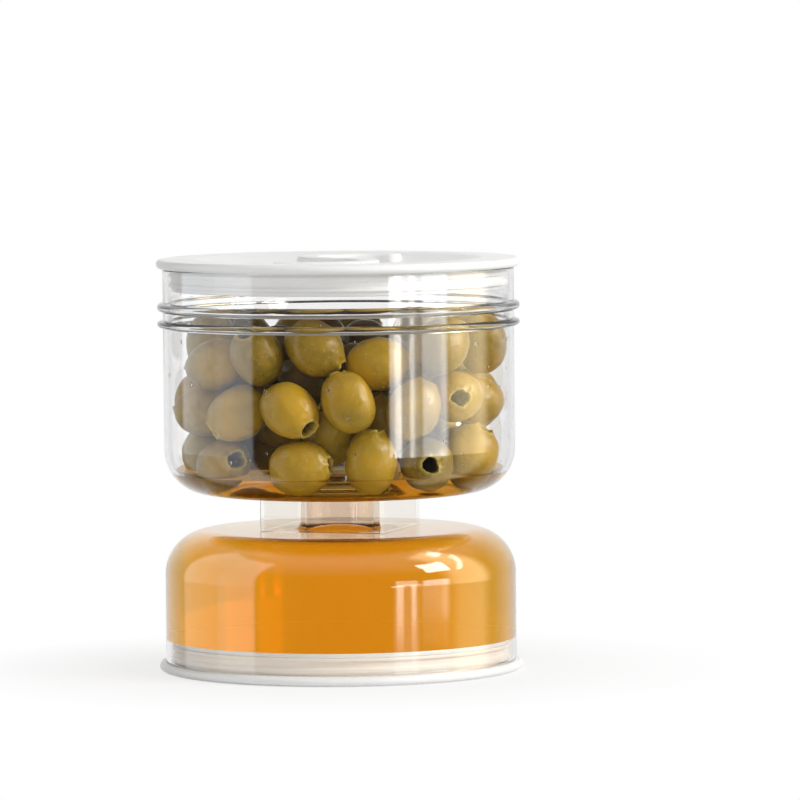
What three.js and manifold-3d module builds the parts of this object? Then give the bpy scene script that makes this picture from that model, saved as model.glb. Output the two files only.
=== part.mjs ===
// Hourglass pickle jar: two clear chambers on one axis, joined through a square neck, with a plug-in lid
// at each end. Turned upright, the brine runs through the strainer into the lower chamber.
// Millimetres, +Z up. The origin is at the centre of the base, on the surface that the jar stands on.

import * as THREE from 'three';
import { mergeVertices } from 'three/addons/utils/BufferGeometryUtils.js';
import Module from 'manifold-3d';

const wasm = await Module();
wasm.setup();

// Chambers
const BODY_R = 55.5;
const WALL = 1.6;
const CORNER_R = 14;
const LOWER_H = 41.5;
const UPPER_H = 71.1;

// Bead rings under the upper rim: drop from the rim to the middle of each, and half its height
const BEADS = [
  { drop: 17.5, half: 0.95 },
  { drop: 12.2, half: 1.25 },
];
const BEAD_BULGE = 1.8;

// Neck between the chambers: a square tube, with a space round the spout
const NECK_H = 11.6;
const NECK_SPACE = 6.6;
const NECK_WALL = 1.4;
const NECK_INNER_CORNER_R = 0.6;
const NECK_TURN_DEG = -17.3;

// Throat of the upper chamber, and the spout of the lower chamber that stands in it
const SPOUT_BORE_R = 10.5;
const SPOUT_TOP_DROP = 1.1;
const SPOUT_FILLET = 4.5;
const THROAT_CLEARANCE = 0.9;
const THROAT_WALL = 1.5;
const THROAT_H = 6;

// Ring in a groove of the spout, which leaves GROOVE_WALL of the spout inside it
const O_RING_D = 1.6;
const O_RING_DROP = 2.4;
const GROOVE_WALL = 0.7;

// Strainer cap, with a hole in its hub and slots round it
const STRAINER_T = 1.5;
const STRAINER_SKIRT_T = 1.4;
const STRAINER_SKIRT_H = 3;
const STRAINER_SLOTS = 12;
const STRAINER_SLOT_W = 2;
const STRAINER_HUB_R = 7.1;
const STRAINER_HOLE_R = 2.6;

// Lids: a flange over the rim, and a plug with a lip at its foot that holds the seal
const FLANGE_OVERHANG = 2;
const FLANGE_T = 2.9;
const SEAL_ROOM = 2.9;
const PLUG_WALL = 1.8;
const LIP_CLEARANCE = 1.3;
const LIP_H = 1.4;
const DISH_MARGIN = 4.2;
const DISH_DEPTH = 6.6;
const DISH_WALL = 1.8;

// S-shaped finger grip across the dish: two half rings end to end, level with the flange
const GRIP_MARGIN = 5.5;
const GRIP_W = 7;
const GRIP_BEVEL = 0.8;
const GRIP_TURN_DEG = -28;

// Lid seals
const SEAL_H = 5.6;
const SEAL_RIB = 0.8;
const SEAL_RIB_H = 1.2;
const SEAL_TOP_RIB_DROP = 0.9;

// Olives
const OLIVE_W = 17;
const OLIVE_LENGTH = 21;
const PIT_HOLE_R = 3.4;
const PIT_HOLE_DEPTH = 3.5;
const HEADSPACE = 7;
const REAR_LAYERS = [
  { rise: 0.53, count: 5 },
  { rise: 1.3, count: 5 },
  { rise: 2, count: 4 },
  { rise: 2.7, count: 5 },
];
const REAR_SPAN_DEG = 140;
const REAR_TURN_DEG = 67;
const CROWN_RISE = 2.75;
const CROWN_COUNT = 3;
const CROWN_TURN_DEG = 60;
const OLIVE_SLIMMING = 1.7;

// How far an olive gives way to a neighbour that it overlaps, as a share of the overlap, and the gap that
// they keep
const FRONT_GIVE = 0.12;
const REAR_GIVE = 0.4;
const OLIVE_GAP = 0.02;

// Gap kept to a neighbour, and how finely round pieces are divided
const GAP = 0.3;
const SIDES = 36;
const SMALL_SIDES = 24;
const OLIVE_SIDES = 12;
const OLIVE_STEPS = 7;
const O_RING_SECTION_SIDES = 8;
const CORNER_STEPS = 5;
const FILLET_STEPS = 3;
const BEAD_STEPS = 4;
const DISH_STEPS = 4;
const GRIP_STEPS = 8;
const SAME_POINT = 1e-4;

// Levels
const LID_DEPTH = Math.max(SEAL_H + LIP_H, DISH_DEPTH + DISH_WALL - FLANGE_T);
const FOOT_Z = FLANGE_T;
const LOWER_TOP_Z = FOOT_Z + LOWER_H;
const UPPER_BOTTOM_Z = LOWER_TOP_Z + NECK_H;
const UPPER_FLOOR_Z = UPPER_BOTTOM_Z + WALL;
const RIM_Z = UPPER_BOTTOM_Z + UPPER_H;
const THROAT_TOP_Z = UPPER_FLOOR_Z + THROAT_H;
const SPOUT_TOP_Z = THROAT_TOP_Z - SPOUT_TOP_DROP;
const OLIVES_TOP_Z = RIM_Z - LID_DEPTH - HEADSPACE;

// Radii that follow from their neighbours
const INNER_R = BODY_R - WALL;
const INNER_CORNER_R = CORNER_R - WALL;
const GROOVE_R = SPOUT_BORE_R + GROOVE_WALL;
const THROAT_R = GROOVE_R + O_RING_D + 2 * GAP;
const SPOUT_R = THROAT_R - THROAT_CLEARANCE;
const THROAT_OUTER_R = THROAT_R + THROAT_WALL;
const STRAINER_R = THROAT_OUTER_R + GAP + STRAINER_SKIRT_T;
const CORE_R = Math.max(STRAINER_R + GAP, INNER_R - 2 * OLIVE_W - 3 * GAP);
const PLUG_R = INNER_R - SEAL_ROOM;
const PLUG_INNER_R = PLUG_R - PLUG_WALL;
const DISH_R = PLUG_INNER_R - DISH_MARGIN;

// The olives behind the front wall, read off the photograph by eye: azimuth from the front (degrees, + is
// to the right), rise of the middle over the floor, turn of the long axis in the wall's plane (0 is level,
// 90 is upright), lean of the pitted end out of that plane (90 faces straight out), and how far the olive
// lies back from the wall. Rise and back are in olive widths.
const FRONT_OLIVES = [
  { azimuth: -89, rise: 0.65, turn: 60, lean: 0, back: 0 },
  { azimuth: -53, rise: 0.53, turn: 10, lean: 10, back: 0 },
  { azimuth: -16, rise: 0.53, turn: 5, lean: 0, back: 0 },
  { azimuth: 11, rise: 0.59, turn: 85, lean: 0, back: 0 },
  { azimuth: 37, rise: 0.53, turn: 180, lean: 60, back: 0 },
  { azimuth: 91, rise: 0.52, turn: 90, lean: 0, back: 0 },
  { azimuth: -76, rise: 1.53, turn: 180, lean: 50, back: 0 },
  { azimuth: -41, rise: 1.29, turn: 225, lean: 40, back: 0 },
  { azimuth: -24, rise: 1.53, turn: -35, lean: 15, back: 0 },
  { azimuth: 0, rise: 1.12, turn: 100, lean: 20, back: 0.82 },
  { azimuth: 24, rise: 1.24, turn: 110, lean: 0, back: 0.65 },
  { azimuth: 68, rise: 1, turn: 80, lean: 30, back: 0 },
  { azimuth: 90, rise: 1.76, turn: 0, lean: 50, back: 0 },
  { azimuth: -55, rise: 2.35, turn: 190, lean: 15, back: 0 },
  { azimuth: -30, rise: 2.47, turn: 95, lean: 35, back: 0 },
  { azimuth: -6, rise: 2.53, turn: -40, lean: 0, back: 0.47 },
  { azimuth: -1, rise: 1.88, turn: 115, lean: -15, back: 0 },
  { azimuth: 34, rise: 1.71, turn: 60, lean: 0, back: 0.24 },
  { azimuth: 63, rise: 1.94, turn: 180, lean: 35, back: 0 },
  { azimuth: 16, rise: 2.65, turn: 5, lean: 10, back: 0.53 },
  { azimuth: 36, rise: 2.71, turn: 40, lean: 0, back: 0 },
  { azimuth: 62, rise: 2.35, turn: 20, lean: 0, back: 0.82 },
  { azimuth: 86, rise: 2.71, turn: 90, lean: 0, back: 0 },
];

const jar = new THREE.Group();

// Materials
const clear = () => new THREE.MeshStandardMaterial({
  color: 0xeef3f4, roughness: 0.06, metalness: 0, transparent: true, opacity: 0.3,
});
const white = () => new THREE.MeshStandardMaterial({ color: 0xf4f4f1, roughness: 0.38, metalness: 0 });
const silicone = () => new THREE.MeshStandardMaterial({ color: 0xe9e7df, roughness: 0.6, metalness: 0 });
const liquid = () => new THREE.MeshStandardMaterial({
  color: 0xdb9218, roughness: 0.03, metalness: 0, transparent: true, opacity: 0.8,
});
const flesh = () => new THREE.MeshStandardMaterial({ color: 0x9b8a2b, roughness: 0.35, metalness: 0 });

const radians = THREE.MathUtils.degToRad;

// A closed geometry as a solid: shared corners merged, and the flat triangles on the axis dropped
function solidOf(geometry) {
  const bare = geometry.index ? geometry.toNonIndexed() : geometry.clone();
  bare.deleteAttribute('normal');
  bare.deleteAttribute('uv');
  const merged = mergeVertices(bare, SAME_POINT);
  const corners = merged.index.array;
  const triangles = [];
  for (let i = 0; i < corners.length; i += 3) {
    const [a, b, c] = corners.slice(i, i + 3);
    if (a !== b && b !== c && c !== a) triangles.push(a, b, c);
  }
  const vertProperties = new Float32Array(merged.attributes.position.array);
  return new wasm.Manifold(new wasm.Mesh({
    numProp: 3, vertProperties, triVerts: new Uint32Array(triangles),
  }));
}

function geometryOf(solid) {
  const mesh = solid.getMesh();
  const geometry = new THREE.BufferGeometry();
  geometry.setAttribute('position', new THREE.BufferAttribute(mesh.vertProperties, 3));
  geometry.setIndex(new THREE.BufferAttribute(mesh.triVerts, 1));
  geometry.computeVertexNormals();
  return geometry;
}

// Points of an arc in the (radius, height) plane, ends included
function arc(r, z, radiusR, radiusZ, fromDeg, toDeg, steps) {
  const points = [];
  for (let i = 0; i <= steps; i++) {
    const angle = radians(fromDeg + (toDeg - fromDeg) * i / steps);
    points.push([r + radiusR * Math.cos(angle), z + radiusZ * Math.sin(angle)]);
  }
  return points;
}

// A solid turned about the Z axis from an outline that starts and ends on it, or closes on itself
function turned(outline, sides = SIDES) {
  const points = outline.map(([r, z]) => new THREE.Vector2(r, z));
  if (THREE.ShapeUtils.area(points) < 0) points.reverse();
  if (points[0].x > 0 || points.at(-1).x > 0) points.push(points[0].clone());
  return solidOf(new THREE.LatheGeometry(points, sides).rotateX(Math.PI / 2));
}

function add(name, solid, material, parent = jar) {
  const mesh = new THREE.Mesh(geometryOf(solid), material);
  mesh.name = name;
  parent.add(mesh);
  return mesh;
}

// Lid, with its flange's underside at z 0 and its top facing +Z

const dishBend = (DISH_R ** 2 + DISH_DEPTH ** 2) / (2 * DISH_DEPTH);
const dishZ = (r) => FLANGE_T - DISH_DEPTH + dishBend - Math.sqrt(dishBend ** 2 - r ** 2);

// The dish's line from its middle to its edge, moved down by drop
function dishLine(drop) {
  const points = [];
  for (let i = 0; i <= DISH_STEPS; i++) {
    const r = DISH_R * i / DISH_STEPS;
    points.push([r, dishZ(r) - drop]);
  }
  return points;
}

function lidShell() {
  const nose = FLANGE_T / 2;
  const lipR = INNER_R - LIP_CLEARANCE;
  return turned([
    ...dishLine(DISH_WALL),
    [PLUG_INNER_R, FLANGE_T - DISH_WALL],
    [PLUG_INNER_R, -SEAL_H - LIP_H],
    [lipR, -SEAL_H - LIP_H],
    [lipR, -SEAL_H],
    [PLUG_R, -SEAL_H],
    [PLUG_R, 0],
    ...arc(BODY_R + FLANGE_OVERHANG - nose, nose, nose, nose, -90, 90, BEAD_STEPS),
    ...dishLine(0).reverse(),
  ]);
}

function gripOutline() {
  const half = GRIP_W / 2;
  const bend = (DISH_R - GRIP_MARGIN - half) / 2;
  const quarter = Math.PI / 2;
  const shape = new THREE.Shape();
  shape.absarc(0, bend, bend + half, quarter, 3 * quarter, false);
  shape.absarc(0, -bend, bend - half, quarter, -quarter, true);
  shape.absarc(0, -2 * bend, half, quarter, 3 * quarter, false);
  shape.absarc(0, -bend, bend + half, -quarter, quarter, false);
  shape.absarc(0, bend, bend - half, 3 * quarter, quarter, true);
  shape.absarc(0, 2 * bend, half, -quarter, quarter, false);
  return shape;
}

function lidSolid() {
  const deepest = FLANGE_T - DISH_DEPTH - DISH_WALL;
  const prism = new THREE.ExtrudeGeometry(gripOutline(), {
    depth: FLANGE_T - deepest - 2 * GRIP_BEVEL,
    bevelThickness: GRIP_BEVEL,
    bevelSize: GRIP_BEVEL,
    bevelOffset: -GRIP_BEVEL,
    bevelSegments: 1,
    curveSegments: GRIP_STEPS,
  });
  prism.translate(0, 0, deepest + GRIP_BEVEL);
  prism.rotateZ(radians(GRIP_TURN_DEG));
  const bowl = turned([
    ...dishLine(DISH_WALL / 2),
    [DISH_R, FLANGE_T],
    [0, FLANGE_T],
  ]);
  return lidShell().add(solidOf(prism).intersect(bowl));
}

// Seal round the plug, with two ribs that close on the chamber wall
function sealSolid() {
  const innerR = PLUG_R + GAP;
  const ribR = INNER_R - GAP;
  const webR = ribR - SEAL_RIB;
  const topRib = -GAP - SEAL_TOP_RIB_DROP;
  return turned([
    [innerR, -SEAL_H],
    [ribR, -SEAL_H],
    [ribR, -SEAL_H + SEAL_RIB_H],
    [webR, -SEAL_H + SEAL_RIB_H],
    [webR, topRib - SEAL_RIB_H],
    [ribR, topRib - SEAL_RIB_H],
    [ribR, topRib],
    [webR, -GAP],
    [innerR, -GAP],
  ]);
}

function addLid(name, z, turnedOver) {
  const group = new THREE.Group();
  group.position.z = z;
  if (turnedOver) group.rotation.x = Math.PI;
  jar.add(group);
  add(name, lidSolid(), white(), group);
  add(`${name}_seal`, sealSolid(), silicone(), group);
}

// Lower chamber: a bell, open at its foot, with the spout on its flat top
function lowerChamber() {
  const straightTop = LOWER_TOP_Z - CORNER_R;
  const flatR = BODY_R - CORNER_R;
  const grooveTop = SPOUT_TOP_Z - O_RING_DROP;
  const grooveBottom = grooveTop - O_RING_D - GAP;
  const fillet = Math.min(SPOUT_FILLET, NECK_SPACE - GAP);
  return turned([
    [BODY_R, FOOT_Z],
    ...arc(flatR, straightTop, CORNER_R, CORNER_R, 0, 90, CORNER_STEPS),
    ...arc(SPOUT_R + fillet, LOWER_TOP_Z + fillet, fillet, fillet, 270, 180, FILLET_STEPS),
    [SPOUT_R, grooveBottom],
    [GROOVE_R, grooveBottom],
    [GROOVE_R, grooveTop],
    [SPOUT_R, grooveTop],
    [SPOUT_R, SPOUT_TOP_Z],
    [SPOUT_BORE_R, SPOUT_TOP_Z],
    [SPOUT_BORE_R, LOWER_TOP_Z - WALL],
    ...arc(flatR, straightTop, INNER_CORNER_R, INNER_CORNER_R, 90, 0, CORNER_STEPS),
    [INNER_R, FOOT_Z],
  ]);
}

function spoutRing() {
  const r = O_RING_D / 2;
  const middleR = GROOVE_R + GAP + r;
  const middleZ = SPOUT_TOP_Z - O_RING_DROP - GAP / 2 - r;
  const steps = O_RING_SECTION_SIDES - 1;
  return turned(arc(middleR, middleZ, r, r, 0, 360 * steps / O_RING_SECTION_SIDES, steps), SMALL_SIDES);
}

// Upper chamber: a pot, open at its rim, with the throat standing up from its floor
function upperChamber() {
  const flatR = BODY_R - CORNER_R;
  const cornerZ = UPPER_BOTTOM_Z + CORNER_R;
  return turned([
    [THROAT_R, UPPER_BOTTOM_Z],
    ...arc(flatR, cornerZ, CORNER_R, CORNER_R, -90, 0, CORNER_STEPS),
    ...BEADS.flatMap(({ drop, half }) => arc(BODY_R, RIM_Z - drop, BEAD_BULGE, half, -90, 90, BEAD_STEPS)),
    [BODY_R, RIM_Z],
    [INNER_R, RIM_Z],
    ...arc(flatR, cornerZ, INNER_CORNER_R, INNER_CORNER_R, 0, -90, CORNER_STEPS),
    [THROAT_OUTER_R, UPPER_FLOOR_Z],
    [THROAT_OUTER_R, THROAT_TOP_Z],
    [THROAT_R, THROAT_TOP_Z],
  ]);
}

// Square tube that spaces the chambers and hides the spout
function roundedSquare(side, corner) {
  const half = side / 2;
  const near = half - corner;
  const shape = new THREE.Shape();
  shape.absarc(near, near, corner, 0, Math.PI / 2, false);
  shape.absarc(-near, near, corner, Math.PI / 2, Math.PI, false);
  shape.absarc(-near, -near, corner, Math.PI, 1.5 * Math.PI, false);
  shape.absarc(near, -near, corner, 1.5 * Math.PI, 2 * Math.PI, false);
  shape.closePath();
  return shape;
}

function neckSleeve() {
  const inside = 2 * (SPOUT_R + NECK_SPACE);
  const shape = roundedSquare(inside + 2 * NECK_WALL, NECK_INNER_CORNER_R + NECK_WALL);
  shape.holes.push(roundedSquare(inside, NECK_INNER_CORNER_R));
  const settings = { depth: NECK_H, bevelEnabled: false, curveSegments: CORNER_STEPS };
  return solidOf(new THREE.ExtrudeGeometry(shape, settings));
}

// Cap over the throat, slotted so that brine passes and olives don't
function strainerSolid() {
  const top = THROAT_TOP_Z + STRAINER_T;
  const cap = turned([
    [0, THROAT_TOP_Z],
    [THROAT_OUTER_R + GAP, THROAT_TOP_Z],
    [THROAT_OUTER_R + GAP, THROAT_TOP_Z - STRAINER_SKIRT_H],
    [STRAINER_R, THROAT_TOP_Z - STRAINER_SKIRT_H],
    [STRAINER_R, top],
    [0, top],
  ]);
  const middleZ = THROAT_TOP_Z + STRAINER_T / 2;
  const cutH = STRAINER_T + 2 * GAP;
  const hole = new THREE.CylinderGeometry(STRAINER_HOLE_R, STRAINER_HOLE_R, cutH, SMALL_SIDES / 2);
  hole.rotateX(Math.PI / 2);
  hole.translate(0, 0, middleZ);
  let strainer = cap.subtract(solidOf(hole));
  const slotEnd = THROAT_R - GAP;
  for (let i = 0; i < STRAINER_SLOTS; i++) {
    const slot = new THREE.BoxGeometry(slotEnd - STRAINER_HUB_R, STRAINER_SLOT_W, cutH);
    slot.translate((slotEnd + STRAINER_HUB_R) / 2, 0, middleZ);
    slot.rotateZ(2 * Math.PI * i / STRAINER_SLOTS);
    strainer = strainer.subtract(solidOf(slot));
  }
  return strainer;
}

// Brine: all of the lower chamber, from the base lid's plug to just under the flat top
function brineSolid() {
  const flatR = BODY_R - CORNER_R;
  const bottom = FOOT_Z + LID_DEPTH + GAP;
  const cornerR = INNER_CORNER_R - GAP;
  const straightTop = LOWER_TOP_Z - CORNER_R;
  return turned([
    [0, bottom],
    [INNER_R - GAP, bottom],
    ...arc(flatR, straightTop, cornerR, cornerR, 0, 90, CORNER_STEPS),
    [0, straightTop + cornerR],
  ]);
}

// Olives. Each is checked as three balls in a row along its length, which cover it.

const HALF_W = OLIVE_W / 2;
const RING_R = INNER_R - GAP - HALF_W;

function olive({ azimuth, rise, turn, lean, back, give = FRONT_GIVE }) {
  const angle = radians(azimuth);
  const out = new THREE.Vector3(Math.sin(angle), -Math.cos(angle), 0);
  const right = new THREE.Vector3(Math.cos(angle), Math.sin(angle), 0);
  const up = new THREE.Vector3(0, 0, 1);
  const axis = right.multiplyScalar(Math.cos(radians(turn)))
    .addScaledVector(up, Math.sin(radians(turn)))
    .multiplyScalar(Math.cos(radians(lean)))
    .addScaledVector(out, Math.sin(radians(lean)))
    .normalize();
  const middle = out.clone().multiplyScalar(RING_R - back * OLIVE_W)
    .addScaledVector(up, UPPER_FLOOR_Z + rise * OLIVE_W);
  return { middle, axis, give, size: 1, seed: middle.clone() };
}

function balls({ middle, axis, size }) {
  const reach = (OLIVE_LENGTH / 2 - HALF_W) * size;
  return [-1, 0, 1].map((side) => middle.clone().addScaledVector(axis, side * reach));
}

// The narrowest gap between two olives
function gapBetween(a, b) {
  let nearest = Infinity;
  for (const p of balls(a)) {
    for (const q of balls(b)) nearest = Math.min(nearest, p.distanceTo(q));
  }
  return nearest - HALF_W * (a.size + b.size);
}

// How far a ball reaches into the chamber's wall or floor or the heap's core, as a move that brings it back
function moveInside(ball) {
  const move = new THREE.Vector3();
  const r = Math.hypot(ball.x, ball.y);
  const outward = new THREE.Vector3(ball.x / r, ball.y / r, 0);
  const floor = UPPER_FLOOR_Z + GAP + HALF_W;
  move.z += Math.max(0, floor - ball.z);
  move.z -= Math.max(0, ball.z + HALF_W - OLIVES_TOP_Z);
  move.addScaledVector(outward, Math.max(0, CORE_R + GAP + HALF_W - r) - Math.max(0, r - RING_R));
  const cornerR = r - (INNER_R - INNER_CORNER_R);
  const cornerZ = ball.z - (UPPER_FLOOR_Z + INNER_CORNER_R);
  const excess = Math.hypot(cornerR, cornerZ) - (INNER_CORNER_R - GAP - HALF_W);
  if (cornerR > 0 && cornerZ < 0 && excess > 0) {
    const back = -excess / Math.hypot(cornerR, cornerZ);
    move.addScaledVector(outward, cornerR * back);
    move.z += cornerZ * back;
  }
  return move;
}

const farthest = (moves) => moves.reduce((a, b) => (b.length() > a.length() ? b : a));

// Push the olives that overlap apart, step by step, and keep them inside the chamber. A pull that fades
// away holds each one near its seed, and each sinks until it rests on others.
function settle(olives) {
  const STEPS = 600;
  const PULL = 0.12;
  const SINK = 0.03;
  for (const a of olives) {
    a.middle.copy(a.seed);
    a.size = 1;
  }
  for (let step = 0; step < STEPS; step++) {
    for (const a of olives) {
      a.middle.lerp(a.seed, PULL * (1 - step / STEPS));
      a.middle.z -= SINK;
      for (const b of olives) {
        if (a === b || a.middle.distanceTo(b.middle) > OLIVE_LENGTH + GAP) continue;
        const overlap = OLIVE_GAP - gapBetween(a, b);
        if (overlap <= 0) continue;
        const apart = a.middle.clone().sub(b.middle).normalize();
        a.middle.addScaledVector(apart, overlap * a.give);
      }
      a.middle.add(farthest(balls(a).map(moveInside)));
    }
  }
}

// An olive that is still short of room is a smaller one
function fitSizes(olives) {
  const ROUNDS = 20;
  for (let round = 0; round < ROUNDS; round++) {
    for (const a of olives) {
      const room = Math.min(...olives.filter((b) => b !== a).map((b) => gapBetween(a, b)));
      const wall = Math.max(...balls(a).map((ball) => moveInside(ball).length() + HALF_W * (a.size - 1)));
      const excess = Math.max(OLIVE_GAP - room, wall);
      if (excess > 0) a.size -= excess / HALF_W / 2;
    }
  }
}

// Lower an olive that hangs free until it all but rests on another or on the floor
function seat(a, olives) {
  const STEP = 0.05;
  const others = olives.filter((b) => b !== a);
  const isFree = () => others.every((b) => gapBetween(a, b) > OLIVE_GAP)
    && balls(a).every((ball) => moveInside(ball).length() === 0);
  while (isFree()) a.middle.z -= STEP;
  a.middle.z += STEP;
}

// The olives that there is room for. The one that would have to be the slimmest is left out, and the others
// settle again, until none is too slim.
function packed(seeds) {
  let olives = seeds;
  for (;;) {
    settle(olives);
    fitSizes(olives);
    const least = olives.reduce((a, b) => (b.size < a.size ? b : a));
    if (least.size * OLIVE_W > OLIVE_W - OLIVE_SLIMMING) break;
    olives = olives.filter((a) => a !== least);
  }
  olives.sort((a, b) => a.middle.z - b.middle.z);
  olives.forEach((a) => seat(a, olives));
  return olives;
}

// A pitted olive about its own middle, long along +Z, with the pit hole at its upper end
function oliveSolid() {
  const holeDeg = THREE.MathUtils.radToDeg(Math.acos(PIT_HOLE_R / HALF_W));
  const outline = arc(0, 0, HALF_W, OLIVE_LENGTH / 2, -90, holeDeg, OLIVE_STEPS);
  outline[0][0] = 0;
  outline.push([0, outline.at(-1)[1] - PIT_HOLE_DEPTH]);
  return turned(outline, OLIVE_SIDES);
}

function place(mesh, { middle, axis, size }) {
  mesh.position.copy(middle);
  mesh.quaternion.setFromUnitVectors(new THREE.Vector3(0, 0, 1), axis);
  mesh.scale.setScalar(size);
  mesh.updateMatrix();
  return mesh;
}

// The olives round the rear of the wall, in layers
function rearOlives() {
  return REAR_LAYERS.flatMap(({ rise, count }, layer) => Array.from({ length: count }, (_, i) => {
    const azimuth = 180 + (i / (count - 1) - 0.5) * REAR_SPAN_DEG;
    return olive({ azimuth, rise, turn: REAR_TURN_DEG * (i + layer), lean: 0, back: 0, give: REAR_GIVE });
  }));
}

// The inner olives, joined: a plain core on the strainer, crowned by a ring of olives
function heapSolid() {
  const strainerTop = THROAT_TOP_Z + STRAINER_T + GAP;
  const rise = Math.min(CROWN_RISE, (OLIVES_TOP_Z - GAP - HALF_W - UPPER_FLOOR_Z) / OLIVE_W);
  const top = UPPER_FLOOR_Z + rise * OLIVE_W;
  let heap = turned([
    [0, strainerTop],
    [CORE_R, strainerTop],
    [CORE_R, top],
    [0, top],
  ], SMALL_SIDES);
  const crownR = CORE_R - OLIVE_LENGTH / 2;
  for (let i = 0; i < CROWN_COUNT; i++) {
    const azimuth = 360 * i / CROWN_COUNT;
    const back = (RING_R - crownR) / OLIVE_W;
    const one = olive({ azimuth, rise, turn: CROWN_TURN_DEG * i, lean: 0, back });
    const { matrix } = place(new THREE.Object3D(), one);
    heap = heap.add(oliveSolid().transform(matrix.elements));
  }
  return heap;
}

// The olives round the wall, as many layers as there is room for
function addOlives() {
  const hasRoom = ({ seed }) => seed.z < OLIVES_TOP_Z - HALF_W / 2;
  const seeds = [...FRONT_OLIVES.map(olive), ...rearOlives()];
  const shell = packed(seeds.filter(hasRoom));
  seeds.forEach((one, i) => {
    const name = `olive_${String(i + 1).padStart(2, '0')}`;
    if (shell.includes(one)) place(add(name, oliveSolid(), flesh()), one);
  });
  add('olive_heap', heapSolid(), flesh());
}

addLid('base_lid', FOOT_Z, true);
add('lower_chamber', lowerChamber(), clear());
add('brine', brineSolid(), liquid());
add('spout_o_ring', spoutRing(), silicone());
const sleeve = add('neck_sleeve', neckSleeve(), clear());
sleeve.position.z = LOWER_TOP_Z;
sleeve.rotation.z = radians(NECK_TURN_DEG);
add('upper_chamber', upperChamber(), clear());
add('strainer', strainerSolid(), white());
addOlives();
addLid('upper_lid', RIM_Z, false);

export default jar;
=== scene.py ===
"""The look of the hourglass pickle jar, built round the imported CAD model.

Lengths in the tables and outlines are millimetres."""

import math
import random

import bmesh
import bpy
from mathutils import Matrix, Vector, noise


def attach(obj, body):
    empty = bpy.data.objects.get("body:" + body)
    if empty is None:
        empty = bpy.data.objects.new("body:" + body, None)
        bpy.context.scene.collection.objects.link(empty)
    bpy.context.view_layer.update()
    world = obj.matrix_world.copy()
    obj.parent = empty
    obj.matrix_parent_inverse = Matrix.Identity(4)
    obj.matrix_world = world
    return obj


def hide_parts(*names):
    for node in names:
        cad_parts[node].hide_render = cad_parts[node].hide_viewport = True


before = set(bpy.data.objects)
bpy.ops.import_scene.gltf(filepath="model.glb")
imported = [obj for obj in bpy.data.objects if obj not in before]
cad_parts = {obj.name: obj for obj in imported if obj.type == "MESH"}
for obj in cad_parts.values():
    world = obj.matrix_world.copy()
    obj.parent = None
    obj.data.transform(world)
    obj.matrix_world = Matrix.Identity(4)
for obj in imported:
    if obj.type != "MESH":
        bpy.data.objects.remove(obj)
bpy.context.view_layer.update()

MM = 0.001

# Sizes that the scene shares with the CAD model
BODY_R, WALL, CORNER_R = 55.5, 1.6, 14.0
FOOT_Z, LOWER_TOP_Z, UPPER_BOTTOM_Z, RIM_Z = 2.9, 44.4, 56.0, 127.1
BEADS = ((17.5, 0.95), (12.2, 1.25))
BEAD_BULGE = 1.8
INNER_R, INNER_CORNER_R = BODY_R - WALL, CORNER_R - WALL
UPPER_FLOOR_Z = UPPER_BOTTOM_Z + WALL
THROAT_H, SPOUT_DROP, GROOVE_DROP, GROOVE_H = 6, 1.1, 2.4, 1.9
THROAT_TOP_Z = UPPER_FLOOR_Z + THROAT_H
SPOUT_TOP_Z = THROAT_TOP_Z - SPOUT_DROP
SPOUT_BORE_R, GROOVE_R, SPOUT_R, SPOUT_FILLET = 10.5, 11.2, 12.5, 4.5
THROAT_R, THROAT_OUTER_R, STRAINER_R = 13.4, 14.9, 16.6
GROOVE_TOP_Z = SPOUT_TOP_Z - GROOVE_DROP
NECK_SIDE, NECK_WALL, NECK_CORNER_R, NECK_TURN = 41.0, 1.4, 2.0, -17.3
FLANGE_R, FLANGE_T, LID_DEPTH = 57.5, 2.9, 7.0
PLUG_R, PLUG_INNER_R, LIP_R, LIP_H = 51.0, 49.2, 52.6, 1.4
DISH_R, DISH_DEPTH, DISH_WALL = 45.0, 6.6, 1.8
DISH_BEND = (DISH_R ** 2 + DISH_DEPTH ** 2) / (2 * DISH_DEPTH)
GRIP_BEND, GRIP_W, GRIP_TURN = 18.0, 7.0, -28.0
GRIP_RUN, GRIP_END = 32, 12
OLIVE_W, OLIVE_LENGTH, PIT_HOLE_R = 17.0, 21.0, 3.4
TIP_TO_PIT = 16.62    # from an olive's closed tip to the bottom of its pit hole

# Sizes of what only the scene has
SEAM_R, SEAM_GAP = 18.0, 0.05    # where the stained spout is set into the clear bell
SOAKED = 0.06    # how far a liquid's mesh reaches into the wall that holds it
SWELL_H = 2.6    # how far the brine stands up in the foot of the spout
PUDDLE_TOP_Z = 63.3
TOP_ROW_Z, TOP_ROW_TONE, USUAL_TONE = 99.0, 0.26, 0.5    # the olives above this height get a darker tone, painted shade under the lid
INNER_TONE, INNER_DARK, INNER_SIZE = 0.1, 0.75, 0.93    # the olives behind the ones that the CAD places, darkened by painted shade in their tone and colour

SIDES = 160    # the corners of a ring round the jar's axis


# Outlines in the (radius, height) plane

def softened(corners, steps=6, closed=True):
    """The outline with each corner that has a third number rounded to that radius."""
    points = []
    count = len(corners)
    for i, corner in enumerate(corners):
        here = Vector(corner[:2])
        radius = corner[2] if len(corner) > 2 else 0
        if not radius or (not closed and i in (0, count - 1)):
            points.append(here)
            continue
        before = Vector(corners[i - 1][:2]) - here
        after = Vector(corners[(i + 1) % count][:2]) - here
        half = before.angle(after) / 2
        reach = min(radius / math.tan(half), 0.499 * before.length, 0.499 * after.length)
        start, end = here + before.normalized() * reach, here + after.normalized() * reach
        weight = math.sin(half)
        parts = max(2, min(3 * steps, round(steps * (1 + radius / 3))))
        for k in range(parts + 1):
            t = k / parts
            a, b, c = (1 - t) ** 2, 2 * t * (1 - t) * weight, t * t
            points.append((start * a + here * b + end * c) / (a + b + c))
    return [(p.x, p.y) for p in points]


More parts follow.
